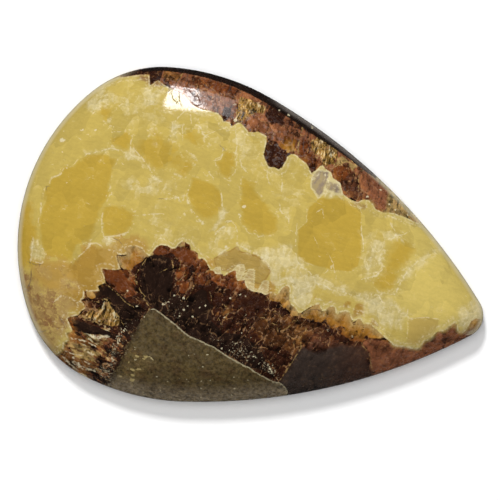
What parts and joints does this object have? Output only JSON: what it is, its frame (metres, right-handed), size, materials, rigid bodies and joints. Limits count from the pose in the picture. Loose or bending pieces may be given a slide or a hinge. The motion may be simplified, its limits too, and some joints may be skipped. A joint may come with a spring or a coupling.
{
  "type": "pear cut calcite gemstone",
  "caption": "Pear-shaped septarian calcite cabochon with a low polished crown, a rounded shoulder and a flat back.",
  "frame": {"origin": "on the flat back, at the middle of the outline's length and width", "axes": "+X along the stone's length, towards the tip; +Y across its width; +Z out of the crown"},
  "size_m": [0.042, 0.0292, 0.0065],
  "materials": {
    "septarian_calcite": "polished yellow calcite with brown aragonite bands and a dull olive-brown mudstone wedge"
  },
  "bodies": {
    "root": {"calcite_gemstone": "septarian_calcite"}
  },
  "joints": []
}
